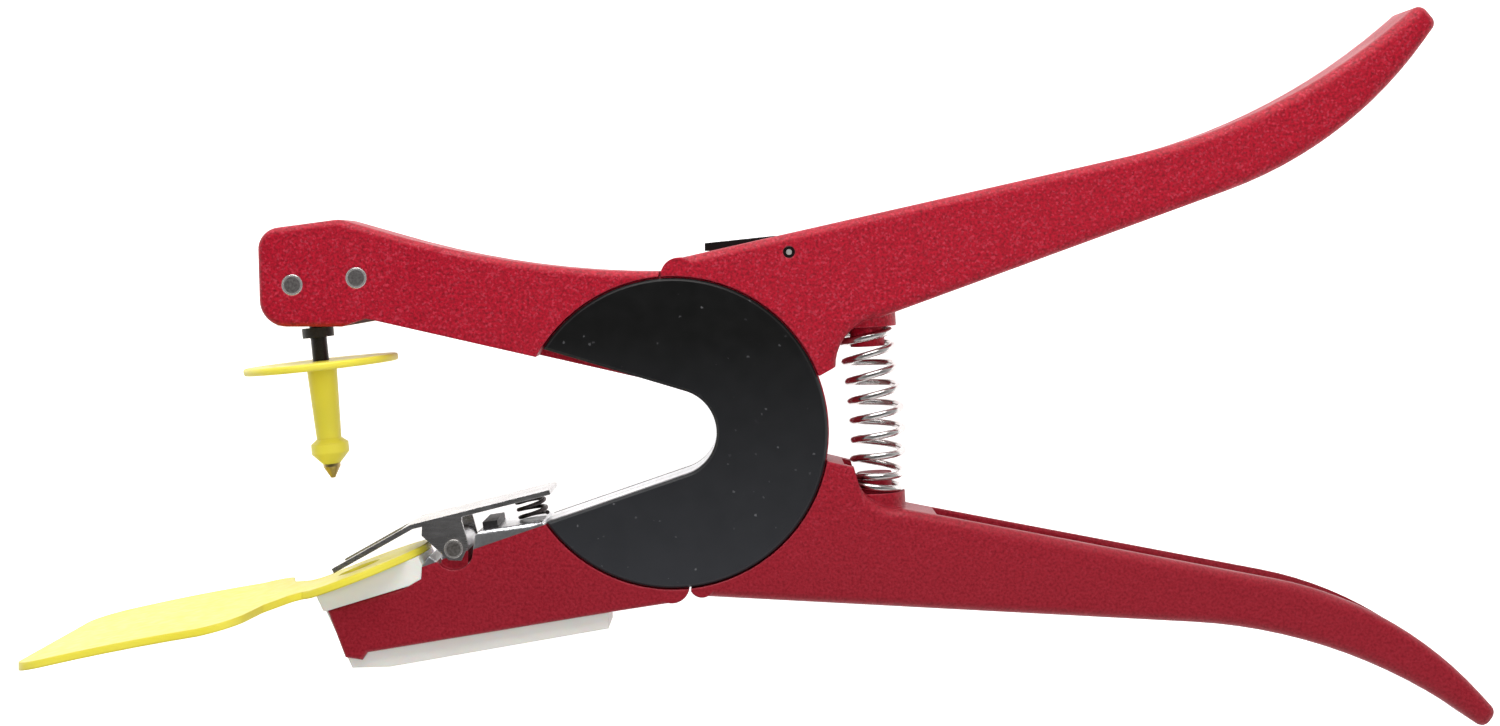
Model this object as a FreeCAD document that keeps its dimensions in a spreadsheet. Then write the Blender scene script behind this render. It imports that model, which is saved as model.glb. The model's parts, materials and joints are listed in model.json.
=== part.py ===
import FreeCAD, Part

import math
import os
from types import SimpleNamespace

from FreeCAD import Placement, Rotation, Vector

# An ear tag applicator lying on its side. The tool's plane is XY, its jaws point to -X and
# its handles to +X, and the arms turn about an axis along Z. Each arm is one casting: the
# upper jaw crosses over to the lower handle, and the lower jaw to the upper handle. Where
# they cross they are half-thickness round webs, one behind the other, and each web turns in
# a round recess of the other casting. The throat between the jaws runs through the turning
# axis, so the webs, the liner between them and the two covers are all C-shaped.

os.makedirs("parts", exist_ok=True)
doc = FreeCAD.newDocument("ear_tag_applicator")

# Driving sizes in millimetres and degrees. X and Y count from the arms' turning axis.
SIZES = [
    ("pivot_x", -20.2, "turning axis in the tool's frame, along X"),
    ("pivot_y", -13.3, "turning axis in the tool's frame, along Y"),
    ("arm_thickness", 18.0, "thickness of both castings"),
    ("disc_radius", 31.3, "radius of the round webs"),
    ("disc_fit", 0.1, "running clearance round a web"),
    ("web_gap", 0.6, "distance between the two webs"),
    ("web_fit", 0.1, "running clearance beside the upper jaw's web"),
    ("clear_cut", 5.0, "how far an open slot's cut runs past its casting"),
    ("stop_gap", 0.4, "gap left in each stop notch when the jaws are open"),
    ("notch_x", -2.5, "upper stop notch, front face of the upper handle"),
    ("heel_x", 3.2, "lower stop notch, rear face of the lower jaw"),
    ("closing_angle", 27.0, "how far the arms turn"),
    ("cover_radius", 31.0, "radius of the covers"),
    ("cover_thickness", 2.6, "thickness of a cover"),
    ("cover_proud", 0.2, "how far a cover stands out of the castings"),
    ("cover_edge", 0.5, "bevel round a cover"),
    ("throat_radius", 8.7, "round end of the throat"),
    ("throat_upper", 16.5, "slope of the throat's upper side"),
    ("throat_lower", 19.0, "slope of the throat's lower side"),
    ("throat_reach", 26.0, "where the lower jaw takes over from the throat's side"),
    ("jaw_slope", 12.8, "slope of the upper jaw's underside"),
    ("jaw_reach", 61.6, "where that slope ends, ahead of the turning axis"),
    ("stud_radius", 2.2, "studs that tie the covers together"),
    ("stud_ring", 20.0, "radius of the circle they stand on"),
    ("stud_depth", 1.6, "how far a stud enters a cover"),
    ("stud_play", 0.3, "clearance round a stud in its arc slot"),
    ("edge_round", 0.8, "rounding of the lower jaw's edges"),
    ("head_round", 1.5, "rounding of the upper jaw's edges"),
    ("handle_round", 2.0, "rounding of the handles' long edges"),
    ("tip_run", 4.6, "straight run from a handle's bend to its end"),
    ("tip_corner", 1.8, "corners of a handle's end"),
    ("head_corner", 4.4, "upper corners of the upper jaw's head"),
    ("chin_corner", 5.4, "lower corner of the upper jaw's head"),
    ("wall", 3.0, "wall of a handle's channel"),
    ("channel_width", 12.0, "width of a handle's channel"),
    ("channel_start", 52.0, "where the channels start"),
    ("channel_end", 14.0, "solid end of a handle, past its channel"),
    ("channel_depth", 22.0, "how far a channel's cut runs, past the handle's inner side"),
    ("channel_lean", 14.0, "lean of a channel's end wall"),
    ("coil_radius", 5.5, "handle spring, outside"),
    ("wire_radius", 0.75, "handle spring, its wire"),
    ("coil_count", 9.0, "handle spring, its turns"),
    ("spring_seat_radius", 6.0, "round pads that the handle spring stands on"),
    ("spring_stud_radius", 3.5, "studs inside the handle spring"),
    ("spring_stud_length", 4.0, "length of those studs"),
    ("spring_seat_depth", 6.0, "how deep a pad runs into its handle"),
    ("spring_room", 0.8, "room round the handle spring in the lower handle's heel"),
    ("lever_width", 5.0, "lock lever"),
    ("lever_play", 0.2, "clearance on each side of the lever"),
    ("lever_boss", 3.0, "round end of the lever about its pin"),
    ("nose_height", 1.6, "front edge of the lever's nose"),
    ("lever_pin_radius", 1.2, "lock lever's hinge pin"),
    ("pin_fit", 0.05, "running clearance round a hinge pin"),
    ("lock_depth", 2.0, "depth of the notch that the lever's tooth drops into"),
    ("lock_width", 5.0, "width of that notch"),
    ("tooth_angle", 69.5, "where the dropped tooth meets the web, from +X"),
    ("dowel_radius", 2.1, "dowels across the upper jaw"),
    ("carrier_width", 9.0, "pin carrier"),
    ("carrier_height", 14.5, "pin carrier"),
    ("pin_x", -72.9, "applicator pin's axis at the upper jaw's floor"),
    ("pin_tilt", 6.0, "applicator pin's lean, its point towards the handles"),
    ("pin_radius", 1.65, "applicator pin"),
    ("pin_grip", 5.5, "length of the pin inside its carrier"),
    ("pin_reach", 26.2, "length of the pin below the upper jaw"),
    ("collar_radius", 3.2, "collar on the pin"),
    ("collar_height", 2.0, "collar on the pin"),
    ("collar_drop", 0.4, "top of the collar, below the upper jaw"),
    ("button_drop", 7.2, "male tag's button, below the upper jaw"),
    ("button_radius", 15.6, "male tag's button"),
    ("button_thickness", 1.5, "male tag's button"),
    ("stem_top_radius", 3.05, "male tag's stem at its button"),
    ("stem_end_radius", 2.5, "male tag's stem at its head"),
    ("tag_fit", 0.1, "clearance of the male tag round the pin"),
    ("head_radius", 3.8, "male tag's head"),
    ("head_shoulder", 23.1, "male tag's head, its shoulder below the jaw"),
    ("head_rim", 1.0, "length of the head's shoulder"),
    ("head_band", 2.0, "length of the head's widest band"),
    ("head_end", 28.3, "male tag's head, where its metal point starts"),
    ("point_radius", 1.75, "metal point"),
    ("point_length", 2.9, "metal point"),
    ("core_width", 13.6, "insert between the lower jaw's cheeks"),
    ("core_play", 0.05, "clearance on each side of the insert"),
    ("hole_x", -63.8, "middle of the insert's hole"),
    ("hole_play", 0.3, "clearance round the tag's socket in the insert"),
    ("hole_depth", 14.0, "depth of the insert's hole"),
    ("socket_radius", 5.3, "female tag's socket, outside"),
    ("socket_bore", 4.4, "female tag's socket, inside"),
    ("socket_depth", 5.0, "female tag's socket, below its sheet"),
    ("sheet", 1.5, "female tag's thickness"),
    ("sheet_lift", 0.02, "gap between the tag's sheet and the insert"),
    ("tag_width", 58.0, "female tag's panel"),
    ("tag_corner", 7.0, "corners of the panel"),
    ("tag_shoulder", 6.0, "shoulder between the panel and the neck"),
    ("neck_corner", 2.0, "corners at the neck's root"),
    ("neck_radius", 14.0, "round end of the tag about its hole"),
    ("neck_half", 9.5, "half the width of the neck"),
    ("clip_width", 17.0, "tag clip"),
    ("clip_sheet", 1.0, "tag clip's steel"),
    ("prong_gap", 11.6, "gap between the clip's prongs"),
    ("prong_length", 13.5, "length of the prongs"),
    ("ear_play", 0.1, "clearance between the lug and the clip's ears"),
    ("lug_radius", 2.7, "lug that carries the clip"),
    ("lug_root", 1.5, "how deep the lug's foot runs into the jaw"),
    ("clip_pin_radius", 1.5, "clip's pivot"),
    ("clip_head_radius", 1.9, "heads of the clip's pivot"),
    ("clip_head_height", 0.6, "heads of the clip's pivot"),
    ("clip_coil_radius", 3.2, "clip spring, outside"),
    ("clip_wire_radius", 0.4, "clip spring, its wire"),
    ("clip_coil_count", 3.0, "clip spring, its turns"),
    ("clip_spring_length", 4.5, "clip spring as fitted"),
    ("coil_air", 0.05, "air between a spring and its seats"),
    ("buffer_height", 1.4, "buffer under the clip"),
    ("buffer_start", 0.4, "from the hollow's rear wall to the buffer"),
    ("buffer_length", 3.0, "buffer under the clip"),
]

# Corners and bends of the outlines, X and Y from the turning axis.
POINTS = [
    ("shoulder_bend", -30.0, 34.1, "upper jaw's back, half way"),
    ("hump_rear", -57.5, 40.1, "where the back meets the head"),
    ("hump_top", -67.0, 42.8, "top of the head"),
    ("brow", -83.4, 40.6, "front top corner of the head"),
    ("chin", -82.8, 21.2, "front lower corner of the head"),
    ("floor_end", -66.5, 21.2, "rear end of the head's floor"),
    ("upper_nose", -1.3, 34.2, "upper handle's front corner, half way"),
    ("upper_start", 1.6, 35.1, "upper handle, start of its straight back"),
    ("upper_bend", 91.4, 55.45, "upper handle, start of its bend"),
    ("upper_end", 146.4, 83.2, "upper handle, outer end of its bend"),
    ("upper_return", 150.6, 78.5, "upper handle, inner end of its bend"),
    ("upper_inner", 111.4, 48.6, "upper handle, inner end of its straight"),
    ("upper_root", 41.5, 23.0, "upper handle, inner start of its straight"),
    ("upper_heel", 34.4, 19.0, "upper handle, hollow above its stop"),
    ("upper_stop", 32.6, 13.2, "upper handle, outer corner of its stop"),
    ("lower_heel_round", 4.2, -32.4, "lower handle's front corner, half way"),
    ("lower_start", 6.4, -32.9, "lower handle, start of its straight back"),
    ("lower_bend", 104.5, -38.1, "lower handle, start of its bend"),
    ("lower_end", 159.0, -56.9, "lower handle, outer end of its bend"),
    ("lower_return", 162.2, -52.6, "lower handle, inner end of its bend"),
    ("lower_inner", 121.0, -29.5, "lower handle, inner end of its straight"),
    ("lower_root", 46.0, -15.3, "lower handle, inner start of its straight"),
    ("lower_hollow", 39.8, -13.6, "lower handle, hollow below its stop"),
    ("lower_rise", 37.2, -10.4, "lower handle, where the stop rises"),
    ("lower_stop", 36.2, -6.9, "lower handle, outer corner of its stop"),
    ("jaw_corner", 1.9, -33.4, "lower jaw's rear corner, half way"),
    ("jaw_belly", -0.6, -34.1, "lower jaw, start of its underside"),
    ("belly_bend", -11.0, -35.7, "lower jaw, bend in its underside"),
    ("belly_end", -61.2, -44.0, "lower jaw, front end of its underside"),
    ("bump_rear", -62.2, -45.5, "bump under the lower jaw's front"),
    ("bump_front", -65.6, -45.0, "bump under the lower jaw's front"),
    ("cheek_front", -69.2, -35.6, "lower jaw, front top corner of its cheeks"),
    ("cheek_rear", -52.8, -30.6, "lower jaw, rear end of the cheeks' top"),
    ("step_low", -50.4, -29.2, "foot of the step behind the insert"),
    ("step_high", -50.2, -26.4, "top of that step"),
    ("lip", -48.8, -24.7, "lip in front of the clip's ears"),
    ("pocket_front", -46.9, -26.1, "hollow that the clip's ears turn in"),
    ("pocket_floor", -43.6, -27.5, "hollow that the clip's ears turn in"),
    ("pocket_rear", -40.2, -25.0, "hollow that the clip's ears turn in"),
    ("pocket_top", -39.6, -20.4, "rear wall of that hollow"),
    ("jaw_top", -38.6, -19.6, "lower jaw's top behind the clip's ears"),
    ("jaw_throat", -25.6, -17.6, "lower jaw's top at the throat"),
    ("insert_front", -71.4, -32.5, "insert, front end of its top"),
    ("insert_rear", -51.0, -24.75, "insert, rear end of its top"),
    ("insert_foot", -64.5, -47.4, "insert, foot of its front"),
    ("insert_sole", -57.0, -47.2, "insert, bend in its sole"),
    ("insert_end", -13.0, -39.5, "insert, rear end of its sole"),
    ("insert_back", -13.0, -33.6, "insert, top of its rear end"),
    ("insert_roof", -46.0, -31.3, "insert, roof below the clip's pivot"),
    ("clip_front", -68.4, -27.3, "tag clip, front end of its top"),
    ("clip_bend", -52.6, -18.4, "tag clip, bend in its top"),
    ("clip_tab", -24.8, -11.4, "tag clip, rear end of its top"),
    ("ear_front", -50.4, -20.6, "clip's ear, front edge"),
    ("ear_low", -44.9, -25.5, "clip's ear, foot"),
    ("ear_heel", -42.4, -25.6, "clip's ear, foot"),
    ("ear_rear", -41.0, -22.6, "clip's ear, rear edge"),
    ("ear_top", -42.4, -17.6, "clip's ear, where it meets the clip"),
    ("clip_axis", -43.9, -23.2, "clip's pivot"),
    ("clip_spring", -28.6, -18.0, "foot of the clip spring"),
    ("tag_crook", -80.5, -34.9, "female tag, where it leaves the insert"),
    ("tag_flat", -90.0, -37.2, "female tag, its panel's start"),
    ("tag_droop", -108.5, -40.6, "female tag, half way down its panel"),
    ("tag_end", -127.0, -44.8, "female tag, its far end"),
    ("spring_top", 39.2, 21.0, "handle spring, upper seat"),
    ("spring_foot", 41.0, -12.6, "handle spring, lower seat"),
    ("lever_axis", 23.2, 36.2, "lock lever's hinge"),
    ("lever_nose", 6.2, 36.4, "lock lever's nose"),
    ("lever_crest", 20.4, 39.5, "lock lever, rear end of its back"),
    ("lever_belly", 13.0, 34.5, "lock lever, behind its tooth"),
    ("tooth_foot", 11.1, 31.1, "lock lever's tooth, rear corner"),
    ("tooth_toe", 8.1, 31.2, "lock lever's tooth, front corner"),
    ("slot_front", 7.0, 27.8, "lever's slot, front lower corner"),
    ("slot_well", 13.4, 27.8, "lever's slot, rear lower corner of the tooth's well"),
    ("slot_step", 14.0, 31.9, "lever's slot, its floor's front end"),
    ("slot_rear", 28.4, 31.9, "lever's slot, its floor's rear end"),
    ("dowel_front", -76.2, 29.6, "front dowel"),
    ("dowel_rear", -63.4, 31.0, "rear dowel"),
    ("carrier_front", -80.2, 21.3, "pin carrier, its lower front corner"),
    ("carrier_rear", -60.2, 22.3, "pin carrier, its lower rear corner"),
]

sheet = doc.addObject("Spreadsheet::Sheet", "Sizes")
cells = [(alias, value, note) for alias, value, note in SIZES]
for name, x, y, note in POINTS:
    cells += [(name + "_x", x, note + ", X"), (name + "_y", y, note + ", Y")]
for row, (alias, value, note) in enumerate(cells, 1):
    sheet.set(f"A{row}", note)
    sheet.set(f"B{row}", str(value))
    sheet.setAlias(f"B{row}", alias)
doc.recompute()

s = SimpleNamespace(**{alias: float(sheet.get(alias)) for alias, _, _ in cells})
at = SimpleNamespace(**{name: (getattr(s, name + "_x"), getattr(s, name + "_y")) for name, *_ in POINTS})

COVER_INNER = "(Sizes.arm_thickness / 2 + Sizes.cover_proud - Sizes.cover_thickness)"
HALF = "(Sizes.arm_thickness / 2)"
root = 0.8 * s.disc_radius  # how deep the jaws and handles run into their webs


# ---------------------------------------------------------------- outlines


class Via(tuple):
    """The middle of an arc from the point before it to the point after it."""


def toward(point, angle, distance):
    """The point that lies a distance from another, in a direction given in degrees."""
    a = math.radians(angle)
    return point[0] + distance * math.cos(a), point[1] + distance * math.sin(a)


def heading(start, end):
    """Direction from one point to another, in degrees."""
    return math.degrees(math.atan2(end[1] - start[1], end[0] - start[0]))


def halfway(start, end):
    """The middle between two points."""
    return (start[0] + end[0]) / 2, (start[1] + end[1]) / 2


def polar(radius, angle):
    """The point at a radius and an angle about the turning axis."""
    return toward((0, 0), angle, radius)


def rounded(before, corner, after, radius):
    """The start, middle and end of the arc that rounds a corner between two lines."""
    here = Vector(*corner, 0)
    u = (Vector(*before, 0) - here).normalize()
    w = (Vector(*after, 0) - here).normalize()
    half = u.getAngle(w) / 2
    middle = (u + w).normalize()
    start = here + u * (radius / math.tan(half))
    end = here + w * (radius / math.tan(half))
    top = here + middle * (radius / math.sin(half) - radius)
    return (start.x, start.y), Via((top.x, top.y)), (end.x, end.y)


def curves(points):
    """Lines and arcs of a closed outline. A third number rounds a corner by that radius."""
    flat = []
    for n, p in enumerate(points):
        if isinstance(p, Via) or len(p) == 2:
            flat.append(p)
        else:
            flat += rounded(points[n - 1][:2], p[:2], points[(n + 1) % len(points)][:2], p[2])
    found = []
    for n, p in enumerate(flat):
        if isinstance(p, Via):
            continue
        after = flat[(n + 1) % len(flat)]
        start = Vector(*p, 0)
        if isinstance(after, Via):
            end = Vector(*flat[(n + 2) % len(flat)], 0)
            found.append(Part.Arc(start, Vector(*after, 0), end))
        else:
            found.append(Part.LineSegment(start, Vector(*after, 0)))
    return found


class Bend:
    """The arc that leaves one point in a given direction and ends at another."""

    def __init__(self, start, angle, end):
        half = math.radians(heading(start, end) - angle)
        self.turn = math.copysign(1, half)
        chord = math.hypot(end[0] - start[0], end[1] - start[1])
        self.radius = chord / (2 * abs(math.sin(half)))
        self.first, self.last = angle, angle + 2 * math.degrees(half)
        self.centre = toward(start, angle + 90 * self.turn, self.radius)

    def point(self, share, out=0.0):
        """A point on the arc, at a share of its length, and moved out from its centre."""
        angle = self.first + share * (self.last - self.first)
        return toward(self.centre, angle - 90 * self.turn, self.radius + out)


def throat(upper, lower, reach):
    """The mouth between the jaws: a round end about the turning axis and two sloping sides."""
    r = s.throat_radius
    sides = []
    for way, angle in ((1, upper), (-1, lower)):
        a = math.radians(angle)
        touch = (r * math.sin(a), way * r * math.cos(a))
        end = (-reach, way * (r * math.cos(a) + (reach + touch[0]) * math.tan(a)))
        sides.append((touch, end))
    (upper_touch, upper_end), (lower_touch, lower_end) = sides
    return [upper_end, upper_touch, Via((r, 0)), lower_touch, lower_end]


def arc_slot(radius, half, first, last):
    """A slot that follows a circle about the turning axis from one angle to another."""
    middle = (first + last) / 2
    ends = [polar(radius, first), polar(radius, last)]
    return [
        polar(radius + half, first),
        Via(polar(radius + half, middle)),
        polar(radius + half, last),
        Via(toward(ends[1], last + 90, half)),
        polar(radius - half, last),
        Via(polar(radius - half, middle)),
        polar(radius - half, first),
        Via(toward(ends[0], first - 90, half)),
    ]


# ---------------------------------------------------------------- features


def place(item, x="0", y="0", rotation=None):
    """Puts a sub-part in the tool's frame. X and Y are expressions from the turning axis."""
    item.Placement = Placement(Vector(), rotation or Rotation())
    item.setExpression("Placement.Base.x", f"Sizes.pivot_x + {x}")
    item.setExpression("Placement.Base.y", f"Sizes.pivot_y + {y}")
    item.setExpression("Placement.Base.z", "Sizes.tag_width / 2")


def new_body(label):
    body = doc.addObject("PartDesign::Body", label)
    body.Label = label
    return body


def draw(body, label, *outlines, height="0", plane="XY_Plane"):
    """A sketch on one of the body's own planes. An outline is points, or (centre, radius)."""
    sketch = body.newObject("Sketcher::SketchObject", label)
    support = next(f for f in body.Origin.OriginFeatures if f.Role == plane)
    sketch.AttachmentSupport = [(support, "")]
    sketch.MapMode = "FlatFace"
    sketch.setExpression("AttachmentOffset.Base.z", height)
    for points in outlines:
        if len(points) == 2:
            centre, radius = points
            sketch.addGeometry(Part.Circle(Vector(*centre, 0), Vector(0, 0, 1), radius), False)
        else:
            sketch.addGeometry(curves(points), False)
    return sketch


def extrude(kind, body, sketch, length, both):
    feature = body.newObject("PartDesign::" + kind, sketch.Label + "_" + kind.lower())
    feature.Profile = sketch
    feature.SideType = "Symmetric" if both else "One side"
    feature.setExpression("Length", length)
    sketch.Visibility = False
    return feature


def pad(body, sketch, length, both=False):
    """Material from a sketch towards +Z, or to both sides of it."""
    return extrude("Pad", body, sketch, length, both)


def pocket(body, sketch, length, both=False):
    """A cut from a sketch towards -Z, or to both sides of it, that has to remove material."""
    doc.recompute()
    before = body.Shape.Volume
    feature = extrude("Pocket", body, sketch, length, both)
    doc.recompute()
    if body.Shape.Volume >= before:
        raise ValueError(f"{feature.Label} removes nothing from {body.Label}")
    return feature


def nearest_edges(shape, spots):
    """Names of the edges that pass closest to each spot."""
    names = []
    for spot in spots:
        vertex = Part.Vertex(Vector(*spot))
        reach = [edge.distToShape(vertex)[0] for edge in shape.Edges]
        names.append(f"Edge{reach.index(min(reach)) + 1}")
    return sorted(set(names))


def dress(kind, body, label, spots, sizes):
    """A Fillet or Chamfer on the edges that pass the spots."""
    doc.recompute()
    base = body.Tip
    feature = body.newObject("PartDesign::" + kind, label)
    feature.Base = (base, nearest_edges(base.Shape, spots))
    for name, value in sizes.items():
        feature.setExpression(name, value)
    return feature


def both_faces(points):
    """Each point on the castings' upper and lower face."""
    return [(x, y, z) for x, y in points for z in (s.arm_thickness / 2, -s.arm_thickness / 2)]


def turned_piece(label, profile, x, y, direction):
    """A body turned about its own axis: a profile of (radius, distance along the axis)."""
    body = new_body(label)
    sketch = draw(body, label + "_profile", profile, plane="XZ_Plane")
    feature = body.newObject("PartDesign::Revolution", label + "_revolution")
    feature.Profile = sketch
    feature.ReferenceAxis = (sketch, ["V_Axis"])
    feature.Angle = 360
    sketch.Visibility = False
    place(body, x, y, Rotation(Vector(0, 0, 1), direction))
    return body


def cylinder(label, radius, height, x, y, z):
    """A round pin along Z."""
    pin = doc.addObject("Part::Cylinder", label)
    pin.Label = label
    pin.setExpression("Radius", radius)
    pin.setExpression("Height", height)
    place(pin, x, y)
    pin.setExpression("Placement.Base.z", f"Sizes.tag_width / 2 + {z}")
    return pin


def round_feature(kind, body, label, radius, height, start, direction):
    """A PartDesign cylinder that stands at a point of the tool's plane and leans as given."""
    feature = body.newObject("PartDesign::" + kind, label)
    feature.setExpression("Radius", radius)
    feature.setExpression("Height", height)
    feature.Placement = Placement(Vector(*start, 0), Rotation(Vector(0, 0, 1), direction))
    return feature


# ---------------------------------------------------------------- the two castings

stud_angles = (60.0, 0.0, -60.0)
stud_spots = [polar(s.stud_ring, angle) for angle in stud_angles]
recess = s.disc_radius + s.disc_fit
spring_top, spring_foot = Vector(*at.spring_top, 0), Vector(*at.spring_foot, 0)
spring_line = (spring_top - spring_foot).normalize()

upper_back = heading(at.upper_start, at.upper_bend)
upper_curve = Bend(at.upper_bend, upper_back, at.upper_end)
upper_hollow = Bend(at.upper_inner, heading(at.upper_root, at.upper_inner), at.upper_return)
lower_back = heading(at.lower_start, at.lower_bend)
lower_curve = Bend(at.lower_bend, lower_back, at.lower_end)
lower_curl = Bend(at.lower_inner, heading(at.lower_root, at.lower_inner), at.lower_return)


def channel(start, bend_point, curve, side):
    """A handle's channel: a roof one wall inside its back, open at the handle's inner side."""
    slope = heading(start, bend_point)
    share = 1 - s.channel_end / (curve.radius * math.radians(abs(curve.last - curve.first)))
    inward = slope + 90 * side
    x = s.channel_start
    first = (x, start[1] + (x - start[0]) * math.tan(math.radians(slope)))
    roof_start = toward(first, inward, s.wall)
    roof_bend = toward(bend_point, inward, s.wall)
    roof_end = curve.point(share, s.wall)
    return [
        roof_start,
        roof_bend,
        Via(curve.point(share / 2, s.wall)),
        roof_end,
        toward(roof_end, inward + s.channel_lean * side, s.channel_depth),
        toward(roof_bend, inward, s.channel_depth),
        toward(roof_start, inward, s.channel_depth),
    ]


def spring_seat(body, label, spot, inward):
    """A round pad let into a handle, with a stud that keeps the spring in place."""
    start = (spot - inward * s.spring_seat_depth)[:2]
    sizes = "Sizes.spring_seat_radius", "Sizes.spring_seat_depth"
    round_feature("AdditiveCylinder", body, label + "_pad", *sizes, start, inward)
    sizes = "Sizes.spring_stud_radius", "Sizes.spring_stud_length"
    round_feature("AdditiveCylinder", body, label + "_stud", *sizes, spot[:2], inward)


def free_webs(body, top, depth, bottom):
    """Round pockets above and below a casting's own web, for the other web and the covers."""
    disc = ((0, 0), recess)
    over = draw(body, "recess_above", disc, height=f"{HALF} + 1")
    pocket(body, over, f"{HALF} + 1 - ({top})")
    under = draw(body, "recess_below", disc, height=bottom)
    pocket(body, under, depth)


def cut_throat(body, upper, reach):
    """Cuts the mouth right through a casting or a cover."""
    mouth = draw(body, "throat", throat(upper, s.throat_lower, reach), height=f"{HALF} + 1")
    pocket(body, mouth, "Sizes.arm_thickness + 2")


def handle_tip(outer, outer_curve, inner, inner_curve):
    """The two rounded corners of a handle's end, straight on from its bends."""
    return [
        (*toward(outer, outer_curve.last, s.tip_run), s.tip_corner),
        (*toward(inner, inner_curve.last, s.tip_run), s.tip_corner),
    ]


# Lower jaw and upper handle
lower_arm = new_body("lower_jaw_arm")
web = draw(lower_arm, "web", ((0, 0), s.disc_radius), height="Sizes.web_gap / 2")
pad(lower_arm, web, f"{COVER_INNER} - Sizes.web_gap / 2")
cut_throat(lower_arm, s.throat_upper, s.throat_reach + root)
jaw = [
    (s.heel_x, -root),
    (s.heel_x, -recess - 0.2),
    Via(at.jaw_corner),
    at.jaw_belly,
    at.belly_bend,
    at.belly_end,
    at.bump_rear,
    at.bump_front,
    at.cheek_front,
    at.cheek_rear,
    at.step_low,
    at.step_high,
    at.lip,
    at.pocket_front,
    Via(at.pocket_floor),
    at.pocket_rear,
    at.pocket_top,
    at.jaw_top,
    at.jaw_throat,
    (at.jaw_throat[0] + root / 3, at.jaw_throat[1] + root / 8),
]
pad(lower_arm, draw(lower_arm, "jaw", jaw), "Sizes.arm_thickness", both=True)
handle = [
    (s.notch_x, root),
    (s.notch_x, recess + 0.6),
    Via(at.upper_nose),
    at.upper_start,
    at.upper_bend,
    Via(upper_curve.point(0.5)),
    at.upper_end,
    *handle_tip(at.upper_end, upper_curve, at.upper_return, upper_hollow),
    at.upper_return,
    Via(upper_hollow.point(0.5)),
    at.upper_inner,
    at.upper_root,
    Via(at.upper_heel),
    at.upper_stop,
    polar(recess, heading((0, 0), at.upper_stop) - 0.8),
    polar(root, heading((0, 0), at.upper_stop)),
]
pad(lower_arm, draw(lower_arm, "handle", handle), "Sizes.arm_thickness", both=True)

long_rims = both_faces([upper_curve.point(0.5), at.upper_heel])
dress("Fillet", lower_arm, "handle_rims", long_rims, {"Radius": "Sizes.handle_round"})
jaw_rims = [
    halfway(at.jaw_belly, at.belly_bend),
    halfway(at.belly_bend, at.belly_end),
    halfway(at.belly_end, at.bump_rear),
    halfway(at.bump_rear, at.bump_front),
    halfway(at.bump_front, at.cheek_front),
    halfway(at.cheek_front, at.cheek_rear),
    halfway(at.jaw_top, at.jaw_throat),
]
dress("Fillet", lower_arm, "jaw_rims", both_faces(jaw_rims), {"Radius": "Sizes.edge_round"})
free_webs(lower_arm, COVER_INNER, f"{HALF} + 1 + Sizes.web_gap / 2", "Sizes.web_gap / 2")
cut_throat(lower_arm, s.throat_upper, s.throat_reach)
bores = draw(lower_arm, "stud_bores", *[(spot, s.stud_radius) for spot in stud_spots], height=COVER_INNER)
pocket(lower_arm, bores, COVER_INNER)
hollow = channel(at.upper_start, at.upper_bend, upper_curve, -1)
pocket(lower_arm, draw(lower_arm, "channel", hollow), "Sizes.channel_width", both=True)
spring_seat(lower_arm, "upper_seat", spring_top, -spring_line)
insert_slot = [
    (at.insert_front[0] - s.clear_cut, at.insert_front[1]),
    at.insert_front,
    at.insert_rear,
    at.step_high,
    at.step_low,
    at.insert_roof,
    at.insert_back,
    (at.insert_end[0], at.insert_end[1] - s.clear_cut),
    (at.insert_front[0] - s.clear_cut, at.insert_foot[1] - s.clear_cut),
]
pocket(lower_arm, draw(lower_arm, "insert_slot", insert_slot), "Sizes.core_width", both=True)
lug_foot = at.pocket_floor[1] - s.lug_root
lug = [
    (at.clip_axis[0] - s.lug_radius, lug_foot),
    (at.clip_axis[0] - s.lug_radius, at.clip_axis[1]),
    Via(toward(at.clip_axis, 90, s.lug_radius)),
    (at.clip_axis[0] + s.lug_radius, at.clip_axis[1]),
    (at.clip_axis[0] + s.lug_radius, lug_foot),
]
LUG_WIDTH = "Sizes.clip_width - 2 * Sizes.clip_sheet - 2 * Sizes.ear_play"
pad(lower_arm, draw(lower_arm, "clip_lug", lug), LUG_WIDTH, both=True)
lug_bore = draw(lower_arm, "clip_bore", (at.clip_axis, s.clip_pin_radius + s.pin_fit))
pocket(lower_arm, lug_bore, "Sizes.arm_thickness", both=True)
above = at.lever_crest[1] + s.clear_cut
lever_slot = [
    at.slot_front,
    at.slot_well,
    at.slot_step,
    at.slot_rear,
    (at.slot_rear[0], above),
    (at.slot_front[0], above),
]
LEVER_ROOM = "Sizes.lever_width + 2 * Sizes.lever_play"
pocket(lower_arm, draw(lower_arm, "lever_slot", lever_slot), LEVER_ROOM, both=True)
lever_bore = draw(lower_arm, "lever_bore", (at.lever_axis, s.lever_pin_radius))
pocket(lower_arm, lever_bore, "Sizes.arm_thickness + 2", both=True)
place(lower_arm)

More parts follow.
